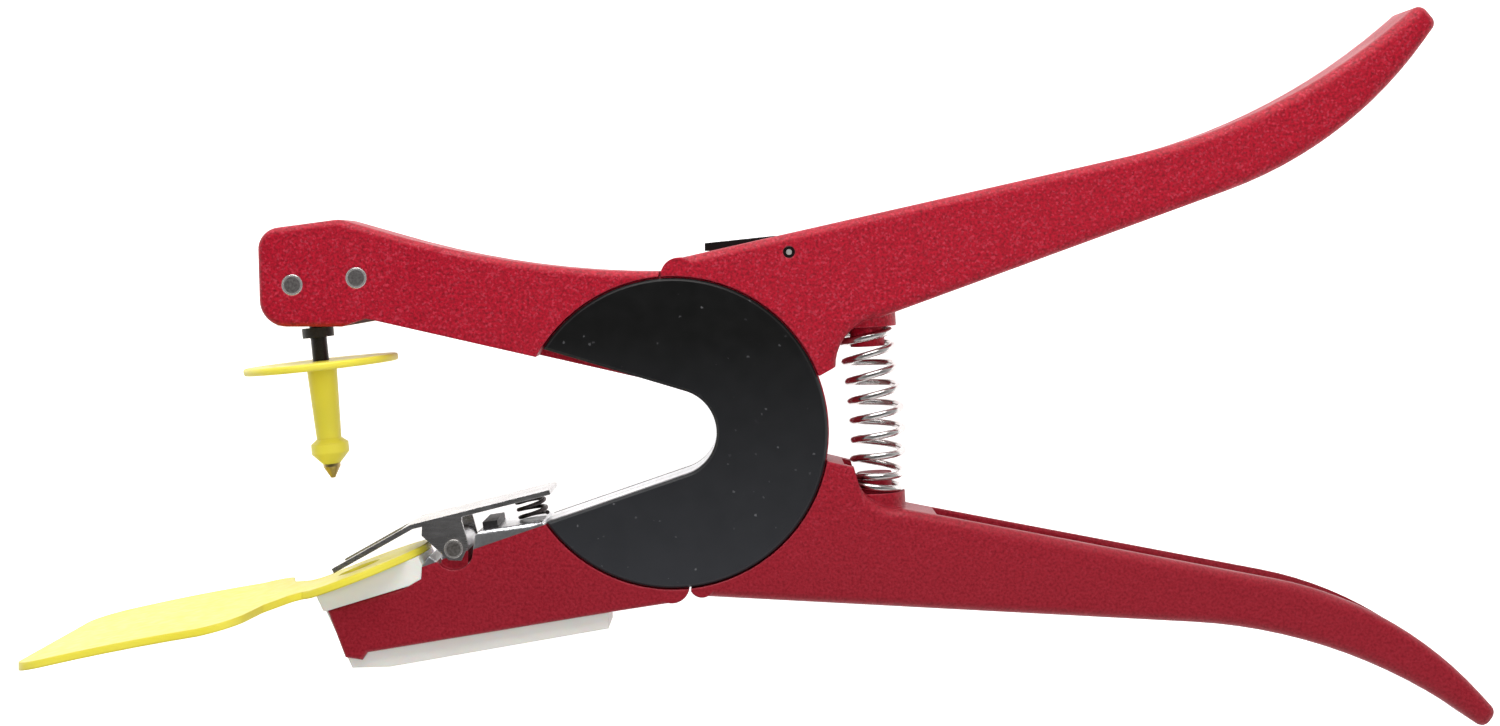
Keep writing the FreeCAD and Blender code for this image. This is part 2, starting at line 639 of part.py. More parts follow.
# Upper jaw and lower handle
upper_arm = new_body("upper_jaw_arm")
WEB_FACE = f"({COVER_INNER} - Sizes.web_fit)"
web = draw(upper_arm, "web", ((0, 0), s.disc_radius), height=f"-{WEB_FACE}")
pad(upper_arm, web, f"{WEB_FACE} - Sizes.web_gap / 2")
slope = math.radians(s.jaw_slope)
touch = Vector(math.sin(slope), math.cos(slope), 0) * s.throat_radius
kink_y = touch.y + (s.jaw_reach + touch.x) * math.tan(slope)
jaw = [
    (s.notch_x - s.stop_gap, root),
    (s.notch_x - s.stop_gap, recess + 0.9),
    Via(at.shoulder_bend),
    at.hump_rear,
    (*at.hump_top, s.head_corner),
    (*at.brow, s.head_corner),
    (*at.chin, s.chin_corner),
    at.floor_end,
    (-s.jaw_reach, kink_y),
    (-root, root / 2),
]
pad(upper_arm, draw(upper_arm, "jaw", jaw), "Sizes.arm_thickness", both=True)
stop_angle = heading((0, 0), at.lower_stop)
handle = [
    (s.heel_x + s.stop_gap, -root),
    (s.heel_x + s.stop_gap, -recess - 0.3),
    Via(at.lower_heel_round),
    at.lower_start,
    at.lower_bend,
    Via(lower_curve.point(0.5)),
    at.lower_end,
    *handle_tip(at.lower_end, lower_curve, at.lower_return, lower_curl),
    at.lower_return,
    Via(lower_curl.point(0.5)),
    at.lower_inner,
    at.lower_root,
    Via(at.lower_hollow),
    at.lower_rise,
    at.lower_stop,
    polar(recess, stop_angle + 0.4),
    polar(root, stop_angle + 0.4),
]
pad(upper_arm, draw(upper_arm, "handle", handle), "Sizes.arm_thickness", both=True)

long_rims = both_faces([lower_curve.point(0.5), at.lower_hollow])
dress("Fillet", upper_arm, "handle_rims", long_rims, {"Radius": "Sizes.handle_round"})
head_rims = [at.shoulder_bend, halfway(at.brow, at.chin), halfway(at.chin, at.floor_end)]
dress("Fillet", upper_arm, "head_rims", both_faces(head_rims), {"Radius": "Sizes.head_round"})
free_webs(upper_arm, "-Sizes.web_gap / 2", f"{HALF} + 1 - {WEB_FACE}", f"-{WEB_FACE}")
cut_throat(upper_arm, s.jaw_slope, s.jaw_reach)
stud_slots = [
    arc_slot(s.stud_ring, s.stud_radius + s.stud_play, angle - s.closing_angle - 1, angle + 1)
    for angle in stud_angles
]
pocket(upper_arm, draw(upper_arm, "stud_slots", *stud_slots), WEB_FACE)
lock_angle = s.tooth_angle - s.closing_angle
lock_half = math.degrees(s.lock_width / 2 / s.disc_radius)
lock_notch = [
    polar(s.disc_radius - s.lock_depth, lock_angle - lock_half),
    polar(s.disc_radius + 1, lock_angle - lock_half),
    polar(s.disc_radius + 1, lock_angle + lock_half),
    polar(s.disc_radius - s.lock_depth, lock_angle + lock_half),
]
pocket(upper_arm, draw(upper_arm, "lock_notch", lock_notch), WEB_FACE)
hollow = channel(at.lower_start, at.lower_bend, lower_curve, 1)
pocket(upper_arm, draw(upper_arm, "channel", hollow), "Sizes.channel_width", both=True)
room_half = s.coil_radius + s.spring_room
lean = math.degrees(math.atan2(spring_line.y, spring_line.x))
room_foot = toward(at.spring_foot, lean, -s.spring_room)
spring_room = [
    toward(room_foot, lean - 90, room_half),
    toward(room_foot, lean + 90, room_half),
    toward(at.spring_top, lean + 90, room_half),
    toward(at.spring_top, lean - 90, room_half),
]
pocket(upper_arm, draw(upper_arm, "spring_room", spring_room), "Sizes.channel_width", both=True)
spring_seat(upper_arm, "lower_seat", spring_foot, spring_line)
dowels = [(spot, s.dowel_radius) for spot in (at.dowel_front, at.dowel_rear)]
pocket(upper_arm, draw(upper_arm, "dowel_bores", *dowels), "Sizes.arm_thickness", both=True)
carrier = [
    at.carrier_front,
    at.floor_end,
    at.carrier_rear,
    (at.carrier_rear[0], at.carrier_front[1] + s.carrier_height),
    (at.carrier_front[0], at.carrier_front[1] + s.carrier_height),
]
below_floor = at.chin[1] - s.clear_cut
carrier_slot = [(at.carrier_front[0], below_floor), (at.carrier_rear[0], below_floor), *carrier[3:]]
pocket(upper_arm, draw(upper_arm, "carrier_slot", carrier_slot), "Sizes.carrier_width", both=True)
place(upper_arm)

# ---------------------------------------------------------------- covers, studs and liner


def cover(label, heights, bore_height, outer_face):
    """One black C-shaped cover, with a blind hole for each stud."""
    body = new_body(label)
    disc = draw(body, label + "_disc", ((0, 0), s.cover_radius), height=heights)
    pad(body, disc, "Sizes.cover_thickness")
    cut_throat(body, s.throat_upper, s.throat_reach + root)
    bores = [(spot, s.stud_radius) for spot in stud_spots]
    pocket(body, draw(body, label + "_bores", *bores, height=bore_height), "Sizes.stud_depth")
    rim = [(s.cover_radius, 0, outer_face), (s.throat_radius, 0, outer_face)]
    dress("Chamfer", body, label + "_bevel", rim, {"Size": "Sizes.cover_edge"})
    place(body)
    return body


face = s.arm_thickness / 2 + s.cover_proud
front_cover = cover("front_cover", COVER_INNER, f"{COVER_INNER} + Sizes.stud_depth", face)
REAR_FACE = f"-({HALF} + Sizes.cover_proud)"
rear_cover = cover("rear_cover", REAR_FACE, f"-{COVER_INNER}", -face)

cover_studs = new_body("cover_studs")
studs = draw(cover_studs, "studs", *[(spot, s.stud_radius) for spot in stud_spots])
pad(cover_studs, studs, f"2 * ({COVER_INNER} + Sizes.stud_depth)", both=True)
place(cover_studs)

liner = new_body("web_liner")
liner_disc = draw(liner, "liner_disc", ((0, 0), s.cover_radius), height="Sizes.web_fit - Sizes.web_gap / 2")
pad(liner, liner_disc, "Sizes.web_gap - Sizes.web_fit")
cut_throat(liner, s.throat_upper, s.throat_reach + root)
pocket(liner, draw(liner, "liner_bores", *[(spot, s.stud_radius) for spot in stud_spots]), HALF, both=True)
place(liner)

# ---------------------------------------------------------------- springs


def coil_spring(label, radius, wire, turns, length, x, y, direction):
    """A round wire swept along a helix, standing on its foot."""
    helix = doc.addObject("Part::Helix", label + "_helix")
    helix.setExpression("Radius", f"{radius} - {wire}")
    helix.setExpression("Height", f"{length} - 2 * {wire} - 2 * Sizes.coil_air")
    helix.setExpression("Placement.Base.z", f"{wire} + Sizes.coil_air")
    helix.setExpression("Pitch", f"({length} - 2 * {wire} - 2 * Sizes.coil_air) / {turns}")
    section = doc.addObject("Part::Circle", label + "_wire")
    section.setExpression("Radius", wire)
    section.Placement = Placement(Vector(), Rotation(Vector(1, 0, 0), 90))
    section.setExpression("Placement.Base.x", f"{radius} - {wire}")
    section.setExpression("Placement.Base.z", f"{wire} + Sizes.coil_air")
    coil = doc.addObject("Part::Sweep", label)
    coil.Label = label
    coil.Sections = [section]
    coil.Spine = (helix, [])
    coil.Solid = True
    coil.Frenet = True
    lift = direction.normalize()
    place(coil, x, y, Rotation(Vector(0, 0, 1), lift))


SPRING_X = "Sizes.spring_top_x - Sizes.spring_foot_x"
SPRING_Y = "Sizes.spring_top_y - Sizes.spring_foot_y"
coil_spring(
    "handle_spring",
    "Sizes.coil_radius",
    "Sizes.wire_radius",
    "Sizes.coil_count",
    f"sqrt(({SPRING_X}) ^ 2 + ({SPRING_Y}) ^ 2)",
    "Sizes.spring_foot_x",
    "Sizes.spring_foot_y",
    spring_line,
)

# ---------------------------------------------------------------- lock lever

lever = new_body("lock_lever")
lever_side = [
    at.lever_nose,
    toward(at.lever_nose, 90, s.nose_height),
    at.lever_crest,
    toward(at.lever_axis, 100, s.lever_boss),
    Via(toward(at.lever_axis, 0, s.lever_boss)),
    toward(at.lever_axis, -100, s.lever_boss),
    at.lever_belly,
    at.tooth_foot,
    at.tooth_toe,
    (at.tooth_toe[0], at.lever_nose[1]),
]
pad(lever, draw(lever, "lever_side", lever_side), "Sizes.lever_width", both=True)
bore = draw(lever, "lever_eye", (at.lever_axis, s.lever_pin_radius + s.pin_fit))
pocket(lever, bore, "Sizes.lever_width", both=True)
place(lever)
cylinder(
    "lock_lever_pin",
    "Sizes.lever_pin_radius",
    "Sizes.arm_thickness",
    "Sizes.lever_axis_x",
    "Sizes.lever_axis_y",
    f"-{HALF}",
)

# ---------------------------------------------------------------- applicator pin and male tag

pin_line = Vector(*toward((0, 0), s.pin_tilt - 90, 1), 0)
pin_foot = (s.pin_x, at.chin[1])

pin_carrier = new_body("pin_carrier")
block = draw(pin_carrier, "carrier_block", carrier)
pad(pin_carrier, block, "Sizes.carrier_width - 2 * Sizes.core_play", both=True)
cross = draw(pin_carrier, "carrier_bores", *dowels)
pocket(pin_carrier, cross, "Sizes.carrier_width", both=True)
pin_top = (pin_foot[0] - pin_line.x * s.pin_grip, pin_foot[1] - pin_line.y * s.pin_grip)
sizes = "Sizes.pin_radius", "2 * Sizes.pin_grip"
round_feature("SubtractiveCylinder", pin_carrier, "pin_socket", *sizes, pin_top, pin_line)
place(pin_carrier)

for name, spot in (("front_dowel", "Sizes.dowel_front"), ("rear_dowel", "Sizes.dowel_rear")):
    cylinder(name, "Sizes.dowel_radius", "Sizes.arm_thickness", spot + "_x", spot + "_y", f"-{HALF}")

PIN_X, PIN_Y = "Sizes.pin_x", "Sizes.chin_y"
collar_foot = s.collar_drop + s.collar_height
collar = [
    (s.pin_radius, s.collar_drop),
    (s.collar_radius, s.collar_drop),
    (s.collar_radius, collar_foot),
    (s.pin_radius, collar_foot),
]
turned_piece("pin_collar", collar, PIN_X, PIN_Y, pin_line)
shaft = [
    (0, -s.pin_grip),
    (s.pin_radius, -s.pin_grip),
    (s.pin_radius, s.pin_reach - s.pin_radius / 2),
    (s.pin_radius / 2, s.pin_reach),
    (0, s.pin_reach),
]
turned_piece("applicator_pin", shaft, PIN_X, PIN_Y, pin_line)
tag_bore = s.pin_radius + s.tag_fit
button_foot = s.button_drop + s.button_thickness
button_edge = s.button_thickness / 3
male_tag = [
    (tag_bore, s.button_drop),
    (s.button_radius, s.button_drop, button_edge),
    (s.button_radius, button_foot, button_edge),
    (s.stem_top_radius, button_foot),
    (s.stem_end_radius, s.head_shoulder),
    (s.head_radius, s.head_shoulder + s.head_rim),
    (s.head_radius, s.head_shoulder + s.head_rim + s.head_band),
    (s.point_radius, s.head_end),
    (0, s.head_end),
    (0, s.pin_reach + s.tag_fit),
    (tag_bore, s.pin_reach + s.tag_fit),
]
turned_piece("male_tag", male_tag, PIN_X, PIN_Y, pin_line)
point_end = s.head_end + s.point_length
point_tip = s.point_radius / 4
metal_point = [
    (0, s.head_end),
    (s.point_radius, s.head_end),
    (s.point_radius, s.head_end + s.point_length / 5),
    (point_tip, point_end),
    (0, point_end),
]
turned_piece("male_tag_point", metal_point, PIN_X, PIN_Y, pin_line)

# ---------------------------------------------------------------- insert and female tag

insert_slope = heading(at.insert_front, at.insert_rear)
inward = Vector(*toward((0, 0), insert_slope - 90, 1), 0)


def on_insert(x, lift=0.0):
    """The point of the insert's top line above an X, lifted from it."""
    y = at.insert_front[1] + (x - at.insert_front[0]) * math.tan(math.radians(insert_slope))
    return toward((x, y), insert_slope + 90, lift)


insert = new_body("tag_insert")
share = (at.cheek_front[1] - at.insert_front[1]) / (at.insert_foot[1] - at.insert_front[1])
front_x = at.insert_front[0] + share * (at.insert_foot[0] - at.insert_front[0])
core = [
    at.insert_front,
    at.insert_rear,
    at.step_high,
    at.step_low,
    at.insert_roof,
    at.insert_back,
    at.insert_end,
    at.insert_sole,
    at.insert_foot,
]
pad(insert, draw(insert, "core", core), "Sizes.core_width - 2 * Sizes.core_play", both=True)
block = [
    at.insert_front,
    at.insert_rear,
    at.step_high,
    at.step_low,
    at.cheek_rear,
    at.cheek_front,
    (front_x, at.cheek_front[1]),
]
pad(insert, draw(insert, "top_block", block), "Sizes.arm_thickness", both=True)
hole = on_insert(s.hole_x)
sizes = "Sizes.socket_radius + Sizes.hole_play", "Sizes.hole_depth"
round_feature("SubtractiveCylinder", insert, "tag_hole", *sizes, hole, inward)
place(insert)

female_tag = new_body("female_tag")
rear = on_insert(s.hole_x + s.neck_radius * math.cos(math.radians(insert_slope)) + 1, s.sheet_lift)
lip_point = on_insert(at.insert_front[0] - s.sheet / 3, s.sheet_lift)
lower_side, upper_side = [], []
for kind, point, angle in (
    (tuple, rear, insert_slope),
    (tuple, lip_point, insert_slope),
    (Via, at.tag_crook, heading(at.tag_flat, lip_point)),
    (tuple, at.tag_flat, heading(at.tag_droop, at.tag_crook)),
    (Via, at.tag_droop, heading(at.tag_end, at.tag_flat)),
    (tuple, at.tag_end, heading(at.tag_end, at.tag_droop)),
):
    lower_side.append(kind(point))
    upper_side.append(kind(toward(point, angle + 90, s.sheet)))
side = draw(female_tag, "sheet_side", lower_side + upper_side[::-1])
pad(female_tag, side, "Sizes.tag_width", both=True)
half = s.tag_width / 2
far = at.tag_end[0] + s.sheet / 2
round_start = hole[0] - math.sqrt(s.neck_radius**2 - s.neck_half**2)
half_panel = [
    (far, half, s.tag_corner),
    (at.tag_crook[0] - s.tag_shoulder / 2, half, s.tag_corner),
    (at.tag_crook[0], s.neck_half + s.tag_shoulder, s.tag_shoulder / 2),
    (round_start - s.neck_corner, s.neck_half, s.neck_corner),
    (round_start, s.neck_half),
]
mirrored = [(x, -y, *rest) for x, y, *rest in half_panel]
panel = mirrored + [Via((hole[0] + s.neck_radius, 0))] + half_panel[::-1]
past = s.tag_width
frame = [(far - past, -past), (hole[0] + past, -past), (hole[0] + past, past), (far - past, past)]
trim = draw(female_tag, "tag_outline", frame, panel, plane="XZ_Plane")
pocket(female_tag, trim, "4 * Sizes.tag_width", both=True)
socket_top = on_insert(s.hole_x, s.sheet_lift + s.sheet / 2)
sizes = "Sizes.socket_radius", "Sizes.socket_depth + Sizes.sheet / 2"
round_feature("AdditiveCylinder", female_tag, "socket", *sizes, socket_top, inward)
sizes = "Sizes.socket_bore", "Sizes.socket_depth + 4 * Sizes.sheet"
bore_top = on_insert(s.hole_x, 2 * s.sheet)
round_feature("SubtractiveCylinder", female_tag, "socket_bore", *sizes, bore_top, inward)
place(female_tag)

# ---------------------------------------------------------------- tag clip

clip = new_body("tag_clip")
front_slope = heading(at.clip_front, at.clip_bend)
rear_slope = heading(at.clip_bend, at.clip_tab)
fold = (front_slope + rear_slope) / 2
fold_depth = s.clip_sheet / math.cos(math.radians((front_slope - rear_slope) / 2))
plate = [
    at.clip_front,
    at.clip_bend,
    at.clip_tab,
    toward(at.clip_tab, rear_slope - 90, s.clip_sheet),
    toward(at.clip_bend, fold - 90, fold_depth),
    toward(at.clip_front, front_slope - 90, s.clip_sheet),
]
pad(clip, draw(clip, "plate", plate), "Sizes.clip_width", both=True)
fork_end = at.clip_front[0] + s.prong_length
fork = [
    (at.clip_front[0] - s.clear_cut, at.clip_front[1] - s.clear_cut),
    (fork_end, at.clip_front[1] - s.clear_cut),
    (fork_end, at.clip_bend[1] + s.clear_cut),
    (at.clip_front[0] - s.clear_cut, at.clip_bend[1] + s.clear_cut),
]
pocket(clip, draw(clip, "fork", fork), "Sizes.prong_gap", both=True)


def in_plate(x):
    """The point in the middle of the clip's plate, behind its bend, above an X."""
    y = at.clip_bend[1] + (x - at.clip_bend[0]) * math.tan(math.radians(rear_slope))
    return toward((x, y), rear_slope - 90, s.clip_sheet / 2)


ear = [
    at.ear_front,
    at.ear_low,
    at.ear_heel,
    at.ear_rear,
    at.ear_top,
    in_plate(at.ear_top[0]),
    in_plate(at.ear_front[0]),
]
near_ear = draw(clip, "near_ear", ear, height="Sizes.clip_width / 2 - Sizes.clip_sheet")
pad(clip, near_ear, "Sizes.clip_sheet")
far_ear = draw(clip, "far_ear", ear, height="-Sizes.clip_width / 2")
pad(clip, far_ear, "Sizes.clip_sheet")
pocket(clip, draw(clip, "ear_holes", (at.clip_axis, s.clip_pin_radius)), "Sizes.clip_width", both=True)
place(clip)

clip_pivot = new_body("clip_pivot")
shank = draw(clip_pivot, "shank", (at.clip_axis, s.clip_pin_radius))
pad(clip_pivot, shank, "Sizes.clip_width", both=True)
near_head = draw(clip_pivot, "near_head", (at.clip_axis, s.clip_head_radius), height="Sizes.clip_width / 2")
pad(clip_pivot, near_head, "Sizes.clip_head_height")
HEAD_FOOT = "-Sizes.clip_width / 2 - Sizes.clip_head_height"
far_head = draw(clip_pivot, "far_head", (at.clip_axis, s.clip_head_radius), height=HEAD_FOOT)
pad(clip_pivot, far_head, "Sizes.clip_head_height")
place(clip_pivot)

jaw_line = heading(at.jaw_top, at.jaw_throat)
clip_spring_lean = Vector(*toward((0, 0), (jaw_line + rear_slope) / 2 + 90, 1), 0)
coil_spring(
    "clip_spring",
    "Sizes.clip_coil_radius",
    "Sizes.clip_wire_radius",
    "Sizes.clip_coil_count",
    "Sizes.clip_spring_length",
    "Sizes.clip_spring_x",
    "Sizes.clip_spring_y",
    clip_spring_lean,
)

buffer_block = new_body("clip_buffer")
buffer_front = toward(at.jaw_top, jaw_line, s.buffer_start)
buffer_rear = toward(buffer_front, jaw_line, s.buffer_length)
buffer_side = [
    buffer_front,
    buffer_rear,
    toward(buffer_rear, jaw_line + 90, s.buffer_height),
    toward(buffer_front, jaw_line + 90, s.buffer_height),
]
pad(buffer_block, draw(buffer_block, "buffer_side", buffer_side), "Sizes.core_width", both=True)
place(buffer_block)

# ---------------------------------------------------------------- check and write

doc.recompute()
for item in doc.Objects:
    if "Invalid" in item.State or "Error" in item.State:
        raise ValueError(f"{item.Label} did not compute: {item.getStatusString()}")

KINDS = ("PartDesign::Body", "Part::Cylinder", "Part::Sweep")
nodes = [item for item in doc.Objects if item.TypeId in KINDS]
for item in nodes:
    if item.Shape.isNull() or not item.Shape.isValid() or not item.Shape.Solids:
        raise ValueError(f"{item.Label} has no valid shape")
for item in nodes:
    item.Shape.exportStep(os.path.join("parts", item.Label + ".step"))
    print(f"{item.Label}: {len(item.Shape.Solids)} solid(s), {item.Shape.Volume:.0f} mm3")
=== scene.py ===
"""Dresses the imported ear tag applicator: its finishes, its bowed springs, its lights and camera."""

import json
import logging
import math
from dataclasses import dataclass
from enum import Enum

import bmesh
import bpy
from bpy.types import Material, Mesh, Node, NodeSocket, NodeTree, Object
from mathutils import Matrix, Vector
from mathutils.geometry import interpolate_bezier

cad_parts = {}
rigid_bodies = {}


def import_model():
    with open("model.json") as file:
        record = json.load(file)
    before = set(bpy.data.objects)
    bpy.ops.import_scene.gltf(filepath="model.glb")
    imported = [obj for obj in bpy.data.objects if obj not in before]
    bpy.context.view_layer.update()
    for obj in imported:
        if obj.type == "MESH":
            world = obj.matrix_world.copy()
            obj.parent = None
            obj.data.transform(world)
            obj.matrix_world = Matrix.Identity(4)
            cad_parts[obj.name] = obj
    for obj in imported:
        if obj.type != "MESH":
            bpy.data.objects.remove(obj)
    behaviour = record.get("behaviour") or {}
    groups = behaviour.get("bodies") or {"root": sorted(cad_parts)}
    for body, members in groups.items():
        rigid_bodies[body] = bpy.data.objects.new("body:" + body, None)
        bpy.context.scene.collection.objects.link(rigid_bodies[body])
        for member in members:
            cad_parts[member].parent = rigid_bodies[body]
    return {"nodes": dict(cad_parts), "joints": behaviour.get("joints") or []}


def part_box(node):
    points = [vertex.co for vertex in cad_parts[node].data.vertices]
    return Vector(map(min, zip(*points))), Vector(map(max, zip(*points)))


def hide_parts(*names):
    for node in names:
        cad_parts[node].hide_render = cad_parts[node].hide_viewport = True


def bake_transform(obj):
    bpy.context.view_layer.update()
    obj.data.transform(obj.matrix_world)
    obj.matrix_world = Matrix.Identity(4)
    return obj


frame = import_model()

log = logging.getLogger("applicator")

Colour = tuple[float, float, float]
Value = NodeSocket | float | tuple | Vector | Material
MM = 0.001
WHITE: Colour = (1.0, 1.0, 1.0)
NO_STRETCH = (1.0, 1.0, 1.0)
PATH_STEPS = 48
JOINTS = {joint["name"]: Vector(joint["pos_m"]) for joint in frame["joints"]}
PIVOT = JOINTS["arm_pivot"]


def from_pivot(x: float, y: float, z: float = 0.0) -> Vector:
    """A point given in millimetres from the arms' turning axis.

    Args:
        x: Distance towards the handles.
        y: Distance towards the upper jaw.
        z: Distance from the tool's middle plane.

    Returns:
        The point in the row frame, in metres.
    """
    return PIVOT + Vector((x, y, z)) * MM


def middle(node: str) -> Vector:
    """The middle of a CAD node's box."""
    low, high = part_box(node)
    return (low + high) / 2


# ---------------------------------------------------------------- shader graphs


class Tree:
    """A node tree, with short calls that add nodes and fill their sockets."""

    def __init__(self, tree: NodeTree) -> None:
        """Takes the tree that the nodes go into.

        Args:
            tree: The node tree.
        """
        self.tree = tree

    def node(self, kind: str, **settings: object) -> Node:
        """Adds a node and sets its own properties."""
        made = self.tree.nodes.new(kind)
        for name, value in settings.items():
            setattr(made, name, value)
        return made

    def put(self, socket: NodeSocket, value: Value) -> None:
        """Links a socket to another, or gives it a plain value."""
        if isinstance(value, NodeSocket):
            self.tree.links.new(value, socket)
        else:
            socket.default_value = value

    def math(self, operation: str, a: Value, b: Value = 0.0) -> NodeSocket:
        """One step of arithmetic."""
        made = self.node("ShaderNodeMath", operation=operation)
        self.put(made.inputs[0], a)
        self.put(made.inputs[1], b)
        return made.outputs[0]

    def ranged(self, value: Value, low: Value, high: Value, start: Value, end: Value) -> NodeSocket:
        """Maps a value's range to another, and stays inside it."""
        made = self.node("ShaderNodeMapRange", clamp=True)
        for socket, given in zip(made.inputs, (value, low, high, start, end)):
            self.put(socket, given)
        return made.outputs[0]

    def vector(self, operation: str, a: Value, b: Value) -> NodeSocket:
        """One step of arithmetic on vectors."""
        made = self.node("ShaderNodeVectorMath", operation=operation)
        self.put(made.inputs[0], a)
        self.put(made.inputs[1], b)
        return made.outputs["Value" if operation == "DOT_PRODUCT" else "Vector"]

    def scaled(self, vector: NodeSocket, factor: Value) -> NodeSocket:
        """A vector times a number."""
        made = self.node("ShaderNodeVectorMath", operation="SCALE")
        self.put(made.inputs[0], vector)
        self.put(made.inputs["Scale"], factor)
        return made.outputs[0]


class Graph(Tree):
    """A material's node tree, with short calls for the patterns that the finishes use."""

    def __init__(self, name: str) -> None:
        """Starts a material that reads Object coordinates.

        Args:
            name: The material's name.
        """
        self.material = bpy.data.materials.new(name)
        self.material.use_nodes = True
        super().__init__(self.material.node_tree)
        self.shader = self.tree.nodes["Principled BSDF"]
        self.place = self.node("ShaderNodeTexCoord").outputs["Object"]

    def surface(self, **values: Value) -> None:
        """Sets the shader's inputs, with underscores for the spaces in their names."""
        for name, value in values.items():
            self.put(self.shader.inputs[name.replace("_", " ")], value)

    def axes(self) -> list[NodeSocket]:
        """X, Y and Z of the place on the object."""
        made = self.node("ShaderNodeSeparateXYZ")
        self.put(made.inputs[0], self.place)
        return list(made.outputs)

    def centred(self, centre: Vector, stretch: tuple[float, float, float] = NO_STRETCH) -> NodeSocket:
        """Coordinates counted from a point of the object and stretched.

        Args:
            centre: The point in the row frame.
            stretch: Factor along each axis.

        Returns:
            The coordinates.
        """
        return self.vector("MULTIPLY", self.vector("SUBTRACT", self.place, centre), stretch)

    def length(self, vector: NodeSocket) -> NodeSocket:
        """A vector's length."""
        made = self.node("ShaderNodeVectorMath", operation="LENGTH")
        self.put(made.inputs[0], vector)
        return made.outputs["Value"]

    def noise(self, size: float, detail: float = 2.0, vector: NodeSocket | None = None) -> NodeSocket:
        """Smooth random blotches.

        Args:
            size: Their usual width in metres.
            detail: How many finer layers are added.
            vector: Coordinates, if not the object's own.

        Returns:
            A value from 0 to 1.
        """
        made = self.node("ShaderNodeTexNoise")
        self.put(made.inputs["Vector"], vector or self.place)
        self.put(made.inputs["Scale"], 1 / size)
        self.put(made.inputs["Detail"], detail)
        return made.outputs[0]

    def cells(self, size: float) -> NodeSocket:
        """A random value for each small cell of the surface."""
        made = self.node("ShaderNodeTexVoronoi")
        self.put(made.inputs["Vector"], self.place)
        self.put(made.inputs["Scale"], 1 / size)
        shade = self.node("ShaderNodeSeparateColor")
        self.put(shade.inputs[0], made.outputs["Color"])
        return shade.outputs[0]

    def mix(self, share: Value, a: Colour | NodeSocket, b: Colour | NodeSocket) -> NodeSocket:
        """Mixes two colours."""
        made = self.node("ShaderNodeMix", data_type="RGBA")
        self.put(made.inputs["Factor"], share)
        self.put(made.inputs[6], a if isinstance(a, NodeSocket) else (*a, 1.0))
        self.put(made.inputs[7], b if isinstance(b, NodeSocket) else (*b, 1.0))
        return made.outputs[2]

    def rounded(self, radius: Value) -> NodeSocket:
        """A normal that rounds the edges off."""
        made = self.node("ShaderNodeBevel", samples=6)
        self.put(made.inputs["Radius"], radius)
        return made.outputs[0]

    def bump(self, height: NodeSocket, depth: float, normal: NodeSocket | None = None) -> NodeSocket:
        """A normal tilted by a height pattern.

        Args:
            height: The pattern, from 0 to 1.
            depth: Its depth in metres.
            normal: The normal that it starts from.

        Returns:
            The new normal.
        """
        made = self.node("ShaderNodeBump")
        self.put(made.inputs["Distance"], depth)
        self.put(made.inputs["Height"], height)
        if normal is not None:
            self.put(made.inputs["Normal"], normal)
        return made.outputs[0]

    def edge(self, normal: NodeSocket) -> NodeSocket:
        """How close a point is to an edge, from 0 on a flat face to 1 on the edge."""
        true = self.node("ShaderNodeNewGeometry").outputs["True Normal"]
        return self.ranged(self.vector("DOT_PRODUCT", normal, true), 1.0, 0.75, 0.0, 1.0)


# ---------------------------------------------------------------- finishes


